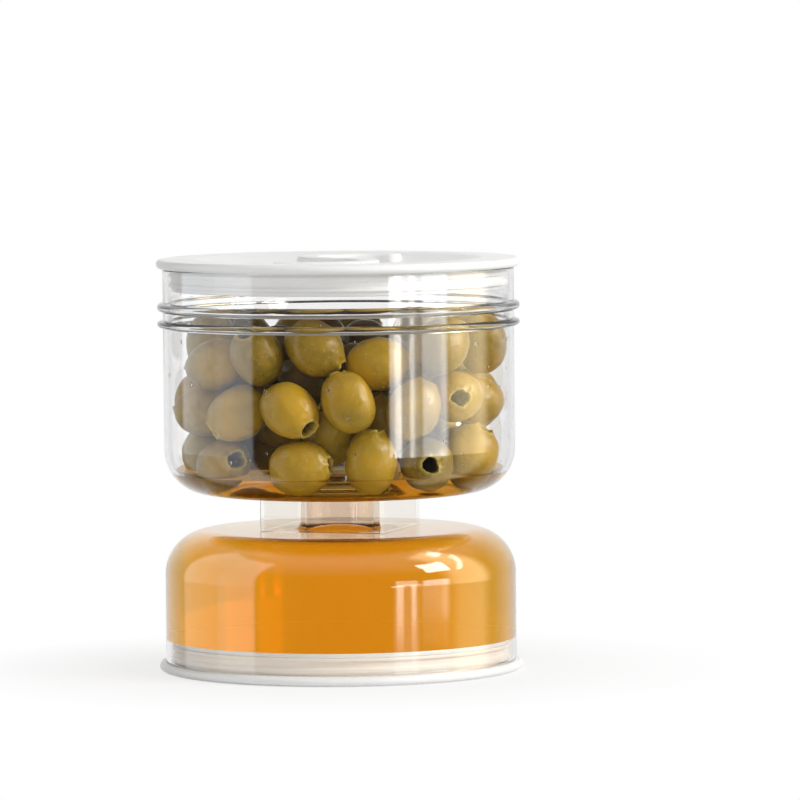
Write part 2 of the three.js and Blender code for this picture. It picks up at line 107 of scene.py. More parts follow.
def braced(points, closed):
    """The outline with a point near each end of a long straight run, so that smooth shading stays in the
    bends."""
    near, long_run = 0.35, 2.5
    out = []
    count = len(points)
    for i, here in enumerate(points):
        out.append(here)
        if i == count - 1 and not closed:
            break
        a, b = Vector(here), Vector(points[(i + 1) % count])
        span = (b - a).length
        if span > long_run:
            out += [tuple(a.lerp(b, near / span)), tuple(a.lerp(b, 1 - near / span))]
    return out


def bead(drop, half, steps=14):
    """A soft ring that stands out of the upper chamber's wall, from its lower to its upper foot."""
    foot = 0.35
    reach = half + foot
    points = []
    for i in range(steps + 1):
        u = 2 * i / steps - 1
        swell = max(0.0, 1 - abs(u) ** 2.6) ** 0.75
        points.append((BODY_R + BEAD_BULGE * swell, RIM_Z - drop + reach * u))
    return points


def dish_z(r):
    """Height of the lid's sunk, dished face at radius r."""
    return FLANGE_T - DISH_DEPTH + DISH_BEND - math.sqrt(DISH_BEND ** 2 - r ** 2)


def dish_line(drop, steps=18):
    return [(DISH_R * i / steps, dish_z(DISH_R * i / steps) - drop) for i in range(steps + 1)]


# Meshes

def piece(name, bm, material, slot, body, *nodes, sharp=38.0):
    """A finished piece: outward normals, smooth shading with its sharp edges kept, riding on its body."""
    bmesh.ops.recalc_face_normals(bm, faces=bm.faces)
    mesh = bpy.data.meshes.new(name)
    bm.to_mesh(mesh)
    bm.free()
    mesh.shade_smooth()
    mesh.set_sharp_from_angle(angle=math.radians(sharp))
    mesh.materials.append(material)
    thing = bpy.data.objects.new(name, mesh)
    bpy.context.scene.collection.objects.link(thing)
    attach(thing, body)
    if nodes:
        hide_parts(*nodes)


def skin(bm, rings, closed=False):
    """Faces between rings of vertices. A ring of one vertex is a tip."""
    pairs = list(zip(rings, rings[1:]))
    if closed:
        pairs.append((rings[-1], rings[0]))
    for a, b in pairs:
        n = max(len(a), len(b))
        for i in range(n):
            j = (i + 1) % n
            corners = [a[i % len(a)], a[j % len(a)], b[j % len(b)], b[i % len(b)]]
            unique = list(dict.fromkeys(corners))
            if len(unique) > 2:
                bm.faces.new(unique)


def lathe(outline, sides=SIDES, place=Matrix.Identity(4)):
    """A body turned about Z from an outline in mm."""
    bm = bmesh.new()
    rings = []
    closed = outline[0][0] > 1e-6 and outline[-1][0] > 1e-6
    for r, z in braced(outline, closed):
        if r < 1e-6:
            rings.append([bm.verts.new(place @ Vector((0, 0, z * MM)))])
            continue
        angles = [2 * math.pi * i / sides for i in range(sides)]
        rings.append([bm.verts.new(place @ (Vector((r * math.cos(a), r * math.sin(a), z)) * MM))
                      for a in angles])
    skin(bm, rings, closed=closed)
    return bm


# Materials

def node(tree, kind, inputs=None, **settings):
    """A new node. Inputs holds a value or another node's output for each of its sockets."""
    made = tree.nodes.new(kind)
    for key, value in settings.items():
        setattr(made, key, value)
    for key, value in (inputs or {}).items():
        socket = made.inputs[key]
        if isinstance(value, bpy.types.NodeSocket):
            tree.links.new(value, socket)
        else:
            socket.default_value = value
    return made


def new_material(name):
    """A material without nodes, and its node tree."""
    material = bpy.data.materials.new(name)
    material.use_nodes = True
    material.node_tree.nodes.clear()
    return material, material.node_tree


def noise_map(tree, scale, detail=4.0, low=0.0, high=1.0, start=0.3, end=0.7):
    """A noise in the object's own space, whose part from start to end is spread over low to high."""
    where = node(tree, "ShaderNodeTexCoord").outputs["Object"]
    cloud = node(tree, "ShaderNodeTexNoise", {"Vector": where, "Scale": scale, "Detail": detail})
    return node(tree, "ShaderNodeMapRange", {
        "Value": cloud.outputs["Fac"], "From Min": start, "From Max": end, "To Min": low, "To Max": high,
    }).outputs["Result"]


def mixed(tree, factor, a, b, blend="MIX"):
    """Two colours mixed. A and B are colours or sockets."""
    mix = node(tree, "ShaderNodeMix", data_type="RGBA", blend_type=blend)
    for index, value in ((0, factor), (6, a), (7, b)):
        if isinstance(value, bpy.types.NodeSocket):
            tree.links.new(value, mix.inputs[index])
        else:
            mix.inputs[index].default_value = value
    return mix.outputs[2]


def rgb(r, g, b):
    return (r, g, b, 1.0)


def bump(tree, height, distance, strength=1.0):
    """The normal of a skin whose height goes up to distance, in metres."""
    return node(tree, "ShaderNodeBump", {
        "Height": height, "Distance": distance, "Strength": strength,
    }).outputs["Normal"]


def see_through(name, tint, edge, shade, ior, rough, ripple, edges, dim, soak=None, coat=0.0):
    """Clear plastic or liquid. Tint is the colour straight through it, edge the darker colour along its
    outline, a painted reflection of the darker room that the outline would show, and shade that of the lamps'
    light it lets pass. Ripple is the scale and depth of the waves in its skin, edges the part of the turn
    away from the eye over which tint becomes edge, and dim what it leaves of matt light.
    Soak is the colour and density that a liquid takes on with depth, and coat a gloss that mirrors where the
    piece itself hardly bends the light."""
    material, tree = new_material(name)
    # painted reflection: toward the outline the colour turns to the darker edge colour, standing in for the
    # dark room mirrored and bent into view there
    rim = node(tree, "ShaderNodeLayerWeight", {"Blend": 0.5}).outputs["Facing"]
    rim = node(tree, "ShaderNodeMapRange", {
        "Value": rim, "From Min": edges[0], "From Max": edges[1], "To Min": 0.0, "To Max": 1.0,
    }).outputs["Result"]
    cloud = noise_map(tree, 60.0, low=0.99, high=1.0)
    colour = mixed(tree, rim, tint, edge)
    colour = mixed(tree, 1.0, colour, node(tree, "ShaderNodeCombineColor", {
        "Red": cloud, "Green": cloud, "Blue": cloud}).outputs["Color"], "MULTIPLY")
    surface = node(tree, "ShaderNodeBsdfPrincipled", {
        "Base Color": colour,
        "Roughness": noise_map(tree, 90.0, low=rough, high=rough * 2.2),
        "IOR": ior,
        "Transmission Weight": 1.0,
        "Coat Weight": coat,
        "Coat Roughness": 0.02,
        "Normal": bump(tree, noise_map(tree, ripple[0], detail=2.0, start=0.0, end=1.0), ripple[1]),
    })
    passing = node(tree, "ShaderNodeBsdfTransparent", {"Color": shade})
    dimmed = node(tree, "ShaderNodeBsdfTransparent", {"Color": rgb(dim, dim, dim)})
    path = node(tree, "ShaderNodeLightPath")
    inner = node(tree, "ShaderNodeMixShader", {
        0: path.outputs["Is Diffuse Ray"], 1: surface.outputs[0], 2: dimmed.outputs[0]})
    outer = node(tree, "ShaderNodeMixShader", {
        0: path.outputs["Is Shadow Ray"], 1: inner.outputs[0], 2: passing.outputs[0]})
    out = node(tree, "ShaderNodeOutputMaterial", {"Surface": outer.outputs[0]})
    if soak:
        depth = node(tree, "ShaderNodeVolumeAbsorption", {"Color": soak[0], "Density": soak[1]})
        tree.links.new(depth.outputs[0], out.inputs["Volume"])
    return material


def moulded(name, colour, dirt, rough, grain, coat=0.0):
    """Opaque moulded plastic or rubber, with a faint cloudiness and an orange-peel skin."""
    material, tree = new_material(name)
    cloud = noise_map(tree, 35.0, detail=6.0)
    fine = noise_map(tree, 900.0, detail=3.0)
    surface = node(tree, "ShaderNodeBsdfPrincipled", {
        "Base Color": mixed(tree, cloud, colour, dirt),
        "Roughness": noise_map(tree, 240.0, low=rough * 0.85, high=rough * 1.2),
        "IOR": 1.5,
        "Coat Weight": coat,
        "Coat Roughness": 0.12,
        "Normal": bump(tree, fine, grain),
    })
    node(tree, "ShaderNodeOutputMaterial", {"Surface": surface.outputs[0]})
    return material


def olive_flesh():
    """Wet green-gold olive skin, mottled and speckled. The mesh's colour attribute holds the olive's tone
    (red), which is set lower as painted shade for the top row and the hidden olives, how near the torn rim a
    point is (green) and its painted shade (blue), which darkens the skin down the pit hole and over the
    hidden olives."""
    material, tree = new_material("olive_flesh")
    facts = node(tree, "ShaderNodeAttribute", attribute_name="olive", attribute_type="GEOMETRY")
    split = node(tree, "ShaderNodeSeparateColor", {"Color": facts.outputs["Color"]})
    tone, torn, deep = (split.outputs[i] for i in range(3))
    patches = noise_map(tree, 75.0, detail=4.0, start=0.32, end=0.68)
    mottle = noise_map(tree, 420.0, detail=5.0, start=0.35, end=0.7)
    gold = mixed(tree, tone, rgb(0.27, 0.155, 0.007), rgb(0.66, 0.365, 0.014))
    olive_green = mixed(tree, tone, rgb(0.13, 0.096, 0.007), rgb(0.40, 0.250, 0.013))
    skin_colour = mixed(tree, patches, olive_green, gold)
    blotch = node(tree, "ShaderNodeMath", {0: mottle, 1: 0.28}, operation="MULTIPLY").outputs[0]
    skin_colour = mixed(tree, blotch, skin_colour, rgb(0.52, 0.33, 0.035))
    where = node(tree, "ShaderNodeTexCoord").outputs["Object"]
    specks = node(tree, "ShaderNodeTexVoronoi", {"Vector": where, "Scale": 620.0})
    speck = node(tree, "ShaderNodeMapRange", {
        "Value": specks.outputs["Distance"], "From Min": 0.10, "From Max": 0.20,
        "To Min": 0.45, "To Max": 0.0,
    }).outputs["Result"]
    skin_colour = mixed(tree, speck, skin_colour, rgb(0.50, 0.44, 0.16))
    skin_colour = mixed(tree, torn, skin_colour, rgb(0.62, 0.46, 0.09))
    # painted shade: the skin turns dark brown down the pit hole and over the hidden olives
    skin_colour = mixed(tree, deep, skin_colour, rgb(0.085, 0.050, 0.018))
    wrinkles = noise_map(tree, 260.0, detail=6.0, start=0.2, end=0.8)
    surface = node(tree, "ShaderNodeBsdfPrincipled", {
        "Base Color": skin_colour,
        "Roughness": noise_map(tree, 180.0, low=0.24, high=0.46),
        "IOR": 1.42,
        "Coat Weight": 0.28,
        "Coat Roughness": 0.1,
        "Normal": bump(tree, wrinkles, 0.00035, 0.8),
    })
    node(tree, "ShaderNodeOutputMaterial", {"Surface": surface.outputs[0]})
    return material


CLEAR = see_through(
    "clear_plastic", tint=rgb(1.0, 1.0, 1.0), edge=rgb(0.42, 0.43, 0.44), shade=rgb(0.99, 0.99, 0.99),
    ior=1.47, rough=0.006, ripple=(28.0, 0.00008), edges=(0.74, 1.0), dim=0.98)

# the neck's plastic and the brine bend light less than real ones, which leaves out black total reflections
NECK_GLOSS = {"ior": 1.03, "rough": 0.02, "ripple": (28.0, 0.00006), "edges": (0.74, 1.0), "dim": 0.95,
              "coat": 0.7}
HAZY = see_through(
    "hazy_plastic", tint=rgb(0.995, 0.97, 0.935), edge=rgb(0.46, 0.43, 0.39), shade=rgb(0.97, 0.96, 0.95),
    **NECK_GLOSS)
BEIGE = see_through(
    "stained_plastic", tint=rgb(0.89, 0.79, 0.70), edge=rgb(0.46, 0.40, 0.33), shade=rgb(0.96, 0.93, 0.90),
    **NECK_GLOSS)
BRINE = see_through(
    "brine", tint=rgb(0.995, 0.985, 0.96), edge=rgb(0.68, 0.33, 0.045), shade=rgb(0.99, 0.98, 0.95),
    ior=1.06, rough=0.004, ripple=(40.0, 0.00006), edges=(0.06, 0.62),
    soak=(rgb(0.957, 0.775, 0.10), 54.0), dim=0.98)
DROP = see_through(
    "drops", tint=rgb(0.97, 0.96, 0.93), edge=rgb(0.80, 0.79, 0.76), shade=rgb(0.95, 0.95, 0.93),
    ior=1.33, rough=0.004, ripple=(40.0, 0.00002), edges=(0.8, 1.0), dim=0.97)
WHITE = moulded("white_plastic", rgb(0.90, 0.90, 0.892), rgb(0.87, 0.87, 0.86), 0.34, 0.00002, 0.15)
SILICONE = moulded("seal_silicone", rgb(0.94, 0.935, 0.92), rgb(0.91, 0.905, 0.885), 0.5, 0.00003)
# painted light: the base seal is the same silicone as the upper one, warmed and brightened by painted light
# from the brine round it
STAINED = moulded("brine_lit_silicone", rgb(0.96, 0.875, 0.78), rgb(0.94, 0.83, 0.71), 0.5, 0.00003)
FLESH = olive_flesh()


# Chambers, neck and strainer

# the outline starts and ends in the wall of the throat, and the beads stand between its two runs
piece("upper_chamber_shell", lathe(
    softened([(THROAT_R, UPPER_BOTTOM_Z + 2), (THROAT_R, UPPER_BOTTOM_Z, 0.6),
              (BODY_R, UPPER_BOTTOM_Z, CORNER_R), (BODY_R, UPPER_BOTTOM_Z + 40)], closed=False)
    + [p for b in BEADS for p in bead(*b)]
    + softened([(BODY_R, RIM_Z - 8), (BODY_R, RIM_Z, 0.55), (INNER_R, RIM_Z, 0.55),
                (INNER_R, UPPER_FLOOR_Z, INNER_CORNER_R), (THROAT_OUTER_R, UPPER_FLOOR_Z, 1.0),
                (THROAT_OUTER_R, THROAT_TOP_Z, 0.4), (THROAT_R, THROAT_TOP_Z, 0.4),
                (THROAT_R, UPPER_BOTTOM_Z + 4)], closed=False),
), CLEAR, "clear", "upper", "upper_chamber")

piece("lower_chamber_shell", lathe(
    softened([
        (BODY_R, FOOT_Z, 0.4), (BODY_R, LOWER_TOP_Z, CORNER_R), (SEAM_R, LOWER_TOP_Z),
        (SEAM_R, LOWER_TOP_Z - WALL), (INNER_R, LOWER_TOP_Z - WALL, INNER_CORNER_R), (INNER_R, FOOT_Z, 0.4)]),
), CLEAR, "clear", "lower", "lower_chamber")

piece("spout_tube", lathe(
    softened([
        (SEAM_R - SEAM_GAP, LOWER_TOP_Z), (SPOUT_R, LOWER_TOP_Z, SPOUT_FILLET),
        (SPOUT_R, GROOVE_TOP_Z - GROOVE_H, 0.15), (GROOVE_R, GROOVE_TOP_Z - GROOVE_H, 0.15),
        (GROOVE_R, GROOVE_TOP_Z, 0.15), (SPOUT_R, GROOVE_TOP_Z, 0.15),
        (SPOUT_R, SPOUT_TOP_Z, 0.5), (SPOUT_BORE_R, SPOUT_TOP_Z, 0.5),
        (SPOUT_BORE_R, LOWER_TOP_Z - WALL, 1.2), (SEAM_R - SEAM_GAP, LOWER_TOP_Z - WALL)]),
), BEIGE, "clear", "lower")


def rounded_square(side, corner, steps=8):
    """A square with round corners. The points near the ends of its sides keep smooth shading in the
    corners."""
    near = side / 2 - corner
    points = []
    for quarter, (sx, sy) in enumerate(((1, 1), (-1, 1), (-1, -1), (1, -1))):
        for i in range(steps + 1):
            angle = math.pi / 2 * (quarter + i / steps)
            points.append((sx * near + corner * math.cos(angle), sy * near + corner * math.sin(angle)))
        ahead = ((-1, 1), (-1, -1), (1, -1), (1, 1))[quarter]
        start = points[-1]
        angle = math.pi / 2 * (quarter + 1)
        end = (ahead[0] * near + corner * math.cos(angle), ahead[1] * near + corner * math.sin(angle))
        for t in (0.008, 0.5, 0.992):
            points.append((start[0] + (end[0] - start[0]) * t, start[1] + (end[1] - start[1]) * t))
    return points


def sleeve():
    """The square tube round the spout, with eased edges at both ends."""
    bm = bmesh.new()
    ease = 0.3
    levels = [
        (ease, LOWER_TOP_Z), (0, LOWER_TOP_Z + ease), (0, UPPER_BOTTOM_Z - ease), (ease, UPPER_BOTTOM_Z),
        (NECK_WALL - ease, UPPER_BOTTOM_Z), (NECK_WALL, UPPER_BOTTOM_Z - ease),
        (NECK_WALL, LOWER_TOP_Z + ease), (NECK_WALL - ease, LOWER_TOP_Z),
    ]
    turn = Matrix.Rotation(math.radians(NECK_TURN), 4, "Z")
    rings = []
    for inset, z in levels:
        corner = max(0.5, NECK_CORNER_R - inset)
        rings.append([bm.verts.new(turn @ Vector((x * MM, y * MM, z * MM)))
                      for x, y in rounded_square(NECK_SIDE - 2 * inset, corner)])
    skin(bm, rings, closed=True)
    return bm


piece("neck_sleeve_tube", sleeve(), HAZY, "clear", "upper", "neck_sleeve", sharp=30.0)


def strainer():
    """The slotted cap over the throat, cut from a turned blank: a hole in its middle and 12 slots with
    round ends."""
    cap_h, skirt_h, play, spare = 1.5, 3, 0.3, 0.5
    hole_r, slot_near, slot_far = 2.6, 8.1, 12.1
    top, skirt_r, skirt_z = THROAT_TOP_Z + cap_h, THROAT_OUTER_R + play, THROAT_TOP_Z - skirt_h
    blank = lathe(softened([
        (0, THROAT_TOP_Z), (skirt_r, THROAT_TOP_Z, 0.2), (skirt_r, skirt_z, 0.2), (STRAINER_R, skirt_z, 0.3),
        (STRAINER_R, top, 0.6), (0, top)], closed=False), 96)
    bmesh.ops.recalc_face_normals(blank, faces=blank.faces)
    cutter = bmesh.new()
    low, high = (THROAT_TOP_Z - spare) * MM, (top + spare) * MM

    def prism(points):
        rings = [[cutter.verts.new((x * MM, y * MM, z)) for x, y in points] for z in (low, high)]
        skin(cutter, rings)
        for ring in rings:
            cutter.faces.new(ring)

    prism([(hole_r * math.cos(math.pi * i / 12), hole_r * math.sin(math.pi * i / 12)) for i in range(24)])
    for k in range(12):
        turn = Matrix.Rotation(math.pi * k / 6, 2)
        slot = []
        for centre, first in ((slot_far, -90), (slot_near, 90)):
            for i in range(9):
                angle = math.radians(first + 22.5 * i)
                slot.append(turn @ Vector((centre + math.cos(angle), math.sin(angle))))
        prism([tuple(p) for p in slot])
    bmesh.ops.recalc_face_normals(cutter, faces=cutter.faces)
    tools = []
    for name, bm in (("strainer_blank", blank), ("strainer_cutter", cutter)):
        mesh = bpy.data.meshes.new(name)
        bm.to_mesh(mesh)
        bm.free()
        made = bpy.data.objects.new(name, mesh)
        bpy.context.scene.collection.objects.link(made)
        tools.append(made)
    cut = tools[0].modifiers.new("cut", "BOOLEAN")
    cut.operation, cut.object, cut.solver = "DIFFERENCE", tools[1], "EXACT"
    bpy.context.view_layer.update()
    result = bmesh.new()
    result.from_object(tools[0], bpy.context.evaluated_depsgraph_get())
    for made in tools:
        bpy.data.objects.remove(made)
    return result


piece("strainer_cap", strainer(), WHITE, "lid_white", "upper", "strainer", sharp=30.0)


def ring_torus(major, minor, z, sides=96, section=16):
    angles = [2 * math.pi * i / section for i in range(section)]
    return lathe([(major + minor * math.cos(a), z + minor * math.sin(a)) for a in angles], sides)


piece("spout_ring", ring_torus(GROOVE_R + 1.1, 0.8, GROOVE_TOP_Z - GROOVE_H / 2), SILICONE, "seal", "lower",
      "spout_o_ring")


# Brine

brine_foot, brine_top = FOOT_Z + LID_DEPTH + SOAKED, LOWER_TOP_Z - WALL + SOAKED
swell = [(SPOUT_BORE_R * math.cos(math.radians(a)), brine_top + SWELL_H * math.sin(math.radians(a)))
         for a in range(0, 90, 6)]
piece("brine_body", lathe(softened([
    (0, brine_foot), (INNER_R + SOAKED, brine_foot),
    (INNER_R + SOAKED, brine_top, INNER_CORNER_R + SOAKED), (SPOUT_BORE_R + 1, brine_top)], closed=False)
    + swell + [(0, brine_top + SWELL_H)]), BRINE, "brine", "lower", "brine")


def puddle_outline():
    """What is left of the brine on the upper chamber's floor. Its flat top climbs a little at the
    strainer."""
    centre_r, centre_z = BODY_R - CORNER_R, UPPER_BOTTOM_Z + CORNER_R
    reach = INNER_CORNER_R + SOAKED
    points = [(THROAT_OUTER_R - SOAKED, UPPER_FLOOR_Z - SOAKED)]
    steps = 16
    last = math.asin((centre_z - PUDDLE_TOP_Z) / reach)
    for i in range(steps + 1):
        angle = math.pi / 2 + (last - math.pi / 2) * i / steps
        points.append((centre_r + reach * math.cos(angle), centre_z - reach * math.sin(angle)))
    return points + [(STRAINER_R + 1.5, PUDDLE_TOP_Z), (STRAINER_R - SOAKED, PUDDLE_TOP_Z + 0.3),
                     (THROAT_OUTER_R - SOAKED, PUDDLE_TOP_Z + 0.25)]


piece("brine_puddle", lathe(puddle_outline()), BRINE, "brine", "upper")


# Lids and seals

def lid_matrix(z, turned_over):
    """Where a lid sits on its rim. The base lid is the upper one turned over."""
    place = Matrix.Translation((0, 0, z * MM))
    return place @ Matrix.Rotation(math.pi, 4, "X") if turned_over else place


def lid_outline():
    """The lid from the underside of its dish over plug, flange and rim to the middle of the dish."""
    nose = FLANGE_T / 2
    outer = softened([(PLUG_INNER_R, FLANGE_T - DISH_WALL, 0.8), (PLUG_INNER_R, -LID_DEPTH, 0.5),
                      (LIP_R, -LID_DEPTH, 0.5), (LIP_R, -LID_DEPTH + LIP_H, 0.2),
                      (PLUG_R, -LID_DEPTH + LIP_H, 0.2), (PLUG_R, 0, 0.3), (FLANGE_R - nose, 0)],
                     closed=False)
    rim = [(FLANGE_R - nose + nose * math.cos(a), nose + nose * math.sin(a))
           for a in (math.radians(-90 + 12 * i) for i in range(1, 16))]
    roll_r = DISH_R - 3.0
    edge = softened([rim[-1], (DISH_R + 0.4, FLANGE_T, 1.1), (roll_r, dish_z(roll_r))], closed=False)
    inner = [p for p in reversed(dish_line(0)) if p[0] < DISH_R - 3.4]
    return dish_line(DISH_WALL)[:-1] + outer + rim + edge[1:] + inner


def grip_ring(inset):
    """The S outline, drawn in by inset: two half rings end to end, with round ends."""
    half = GRIP_W / 2 - inset
    b = GRIP_BEND
    runs = ((0, b, b + half, 90, 270, GRIP_RUN), (0, -b, b - half, 90, -90, GRIP_RUN),
            (0, -2 * b, half, 90, 270, GRIP_END), (0, -b, b + half, -90, 90, GRIP_RUN),
            (0, b, b - half, 270, 90, GRIP_RUN), (0, 2 * b, half, -90, 90, GRIP_END))
    points = []
    for cx, cy, radius, first, last, steps in runs:
        for i in range(steps):
            angle = math.radians(first + (last - first) * (i + 0.5) / steps)
            points.append((cx + radius * math.cos(angle), cy + radius * math.sin(angle)))
    return points


def close_grip(bm, ring):
    """The face that fills an S ring: strips across the two bends, and a half disc at each end."""
    n, e = GRIP_RUN, GRIP_END
    first, second = ring[:n], ring[n:2 * n]
    end, third, fourth, other_end = (ring[2 * n:2 * n + e], ring[2 * n + e:3 * n + e],
                                     ring[3 * n + e:4 * n + e], ring[4 * n + e:])
    for a, b in ((first, fourth[::-1]), (second, third[::-1])):
        for i in range(n - 1):
            bm.faces.new((a[i], a[i + 1], b[i + 1], b[i]))
    bm.faces.new((first[-1], second[0], third[-1], fourth[0]))
    bm.faces.new([second[-1], *end, third[0]])
    bm.faces.new([fourth[-1], *other_end, first[0]])


def grip(place):
    """The S that stands in the dish, with its foot sunk into the dish and its flat top level with the
    flange."""
    bm = bmesh.new()
    turn = Matrix.Rotation(math.radians(GRIP_TURN), 4, "Z")
    ease, top_inset, foot_limit = 0.95, 2.4, FLANGE_T - 1.1
    # inset of the outline, its height or None where it follows the dish, and its lift above the dish
    levels = [(-0.45, None, -0.5), (-0.45, None, 0.0), (-0.16, None, 0.12), (0.0, None, 0.45)]
    for degrees in (0, 18, 36, 54, 72, 90):
        a = math.radians(degrees)
        levels.append((ease * (1 - math.cos(a)), FLANGE_T - ease * (1 - math.sin(a)), 0))
    levels.append((top_inset, FLANGE_T, 0))
    rings = []
    for inset, z, lift in levels:
        ring = []
        for x, y in grip_ring(inset):
            height = min(dish_z(min(math.hypot(x, y), DISH_R)) + lift, foot_limit) if z is None else z
            ring.append(bm.verts.new(place @ turn @ Vector((x * MM, y * MM, height * MM))))
        rings.append(ring)
    skin(bm, rings)
    close_grip(bm, rings[-1])
    close_grip(bm, rings[0])
    return bm


def seal_outline():
    """A band with two ribs, which stop just short of the chamber's wall."""
    inner, rib = PLUG_R + 0.3, INNER_R - 0.3
    web = rib - 0.8
    return softened([(inner, -5.6, 0.2), (rib, -5.6, 0.45), (rib, -4.4, 0.45), (web, -4.4, 0.3),
                     (web, -2.4, 0.3), (rib, -2.4, 0.45), (rib, -1.2, 0.45), (web, -0.3, 0.3),
                     (inner, -0.3, 0.2)], steps=4)


for name, z, turned_over, body, rubber in (("upper_lid", RIM_Z, False, "lid", SILICONE),
                                           ("base_lid", FOOT_Z, True, "base", STAINED)):
    place = lid_matrix(z, turned_over)
    piece(f"{name}_shell", lathe(lid_outline(), place=place), WHITE, "lid_white", body, name)
    piece(f"{name}_grip", grip(place), WHITE, "lid_white", body)
    piece(f"{name}_gasket", lathe(seal_outline(), place=place), rubber, "seal", body, f"{name}_seal")


# Olives

def olive_pose(node_name):
    """Middle, long axis and size of a CAD olive. The corners on its long axis are the closed tip and the
    bottom of the pit hole, and all others lie in rings of 12 round that axis."""
    bins, whole_ring, stray = 2e4, 8, 8    # bins of 0.05 mm
    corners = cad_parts[node_name].data.vertices
    unique = {tuple(round(c, 6) for c in v.co): Vector(v.co) for v in corners}
    points = list(unique.values())
    best = None
    for p in points:
        for q in points:
            if p is q:
                continue
            axis = (q - p).normalized()
            # about the right axis, the corners of a ring share one distance and one height
            spans = {}
            for v in points:
                along = (v - p).dot(axis)
                out = ((v - p) - axis * along).length
                key = (round(along * bins), round(out * bins))
                spans[key] = spans.get(key, 0) + 1
            score = sum(n for n in spans.values() if n >= whole_ring)
            if best is None or score > best[0]:
                best = (score, p, q)
        if best and best[0] >= len(points) - stray:
            break
    _, p, q = best
    # the tip lies farther from the middle of all corners than the bottom of the pit hole does
    centre = sum(points, Vector()) / len(points)
    tip, hole = (p, q) if (p - centre).length > (q - centre).length else (q, p)
    axis = (hole - tip).normalized()
    size = (hole - tip).length / (TIP_TO_PIT * MM)
    return tip + axis * (OLIVE_LENGTH / 2 * size * MM), axis, size


def olive_mesh(centre, axis, size, seed, usual_tone, dark=0.0):
    """A pitted olive: a lumpy, slightly lopsided oval with a torn rim round a hole far into it, and a
    puckered cross where the pitting tool went in at the other end. Dark is the least painted shade that its
    whole skin gets, as for an olive hidden behind others; down the pit hole the painted shade rises to full."""
    dice = random.Random(seed)
    half_w, half_l = OLIVE_W / 2, OLIVE_LENGTH / 2
    taper = dice.uniform(-0.05, 0.05)
    flatten = dice.uniform(0.0, 0.035)
    flatten_turn = dice.uniform(0, math.pi)
    shift = Vector((dice.uniform(-50, 50), dice.uniform(-50, 50), dice.uniform(-50, 50)))
    hole_r = PIT_HOLE_R * dice.uniform(0.9, 1.06)
    tone = min(1.0, max(0.0, dice.gauss(usual_tone, 0.26)))
    across, around = 40, 44
    hole_angle = math.pi - math.asin(PIT_HOLE_R / half_w)
    profile = []
    for i in range(across + 1):
        t = hole_angle * i / across
        profile.append((half_w * math.sin(t), -half_l * math.cos(t), 0.0, 0.0))
    rim_z = profile[-1][1]
    # out from the hole's edge, up from it, how torn and how much painted shade: over the lip and down the
    # hole
    lip = ((-0.22, 0.40, 0.75, 0.0), (-0.50, 0.34, 1.0, 0.05), (-0.68, -0.25, 0.9, 0.22),
           (-0.75, -1.5, 0.4, 0.6), (-0.8, -4.0, 0.0, 0.95), (-1.1, -8.0, 0.0, 1.0),
           (-1.9, -11.0, 0.0, 1.0))
    for dr, dz, torn, deep in lip:
        profile.append((max(0.4, hole_r / PIT_HOLE_R * (PIT_HOLE_R + dr)), rim_z + dz, torn, deep))
    bm = bmesh.new()
    colours = []
    turn = Vector((0, 0, 1)).rotation_difference(axis).to_matrix()
    spin = Matrix.Rotation(dice.uniform(0, 2 * math.pi), 3, "Z")

    def add(x, y, z, facts):
        p = Vector((x, y, z))
        lump = noise.noise((p + shift) * 0.13) * 0.42 + noise.noise((p + shift) * 0.34) * 0.16
        out = Vector((x, y, z * 0.6))
        if out.length > 0.2 and facts[1] < 0.9:
            p += out.normalized() * (lump - 0.22)
        # the blue channel is painted shade: at least dark all over, and more down the pit hole
        colours.append((tone, facts[0], max(dark, facts[1]), 1.0))
        return bm.verts.new(centre + turn @ (spin @ p) * (size * MM))

    rings = []
    for i, (r, z, torn, deep) in enumerate(profile):
        if r < 1e-6:
            rings.append([add(0, 0, z + 1.0, (0.35, 0.4))])
            continue
        ring = []
        near_rim = max(0.0, 1 - abs(i - across) / 4) if i <= across else 1.0
        for k in range(around):
            a = 2 * math.pi * k / around
            ragged = noise.noise(Vector((math.cos(a) * 1.4, math.sin(a) * 1.4, seed * 3.7)))
            ragged += 0.5 * noise.noise(Vector((math.cos(a) * 4, math.sin(a) * 4, seed * 1.9)))
            rr = r * (1 + taper * z / half_l) * (1 + flatten * math.cos(2 * (a - flatten_turn)))
            rr += near_rim * ragged * (0.7 if i > across else 0.4)
            zz = z + near_rim * ragged * 0.8
            if z < -half_l * 0.85:
                cross = 0.35 * math.exp(-(r / 2.8) ** 2) * max(0, math.cos(4 * a))
                zz += 0.9 * (math.exp(-(r / 1.5) ** 2) + cross)
            facts = (torn * (0.7 + 0.3 * ragged), deep)
            if i == across:
                facts = (0.35, 0.0)
            ring.append(add(rr * math.cos(a), rr * math.sin(a), zz, facts))
        rings.append(ring)
    last = profile[-1]
    rings.append([add(0, 0, last[1] - 0.6, (0.0, 1.0))])
    skin(bm, rings)
    layer = bm.verts.layers.float_color.new("olive")
    for v, c in zip(bm.verts, colours):
        v[layer] = c
    return bm


def fill(taken):
    """Places for the olives that fill the middle, each clear of the others and of the strainer."""
    dice = random.Random(11)
    tries, heap_r, strainer_clear_r = 20000, 29, 25
    low_over_strainer, low_beside_it, high, apart = 75.0, 67.0, 103.5, 16.2
    found = []
    for _ in range(tries):
        radius, around = heap_r * math.sqrt(dice.random()), dice.uniform(0, 2 * math.pi)
        low = low_over_strainer if radius < strainer_clear_r else low_beside_it
        p = Vector((radius * math.cos(around), radius * math.sin(around), dice.uniform(low, high)))
        if all((p - q).length > apart for q in taken + found):
            found.append(p)
    return found


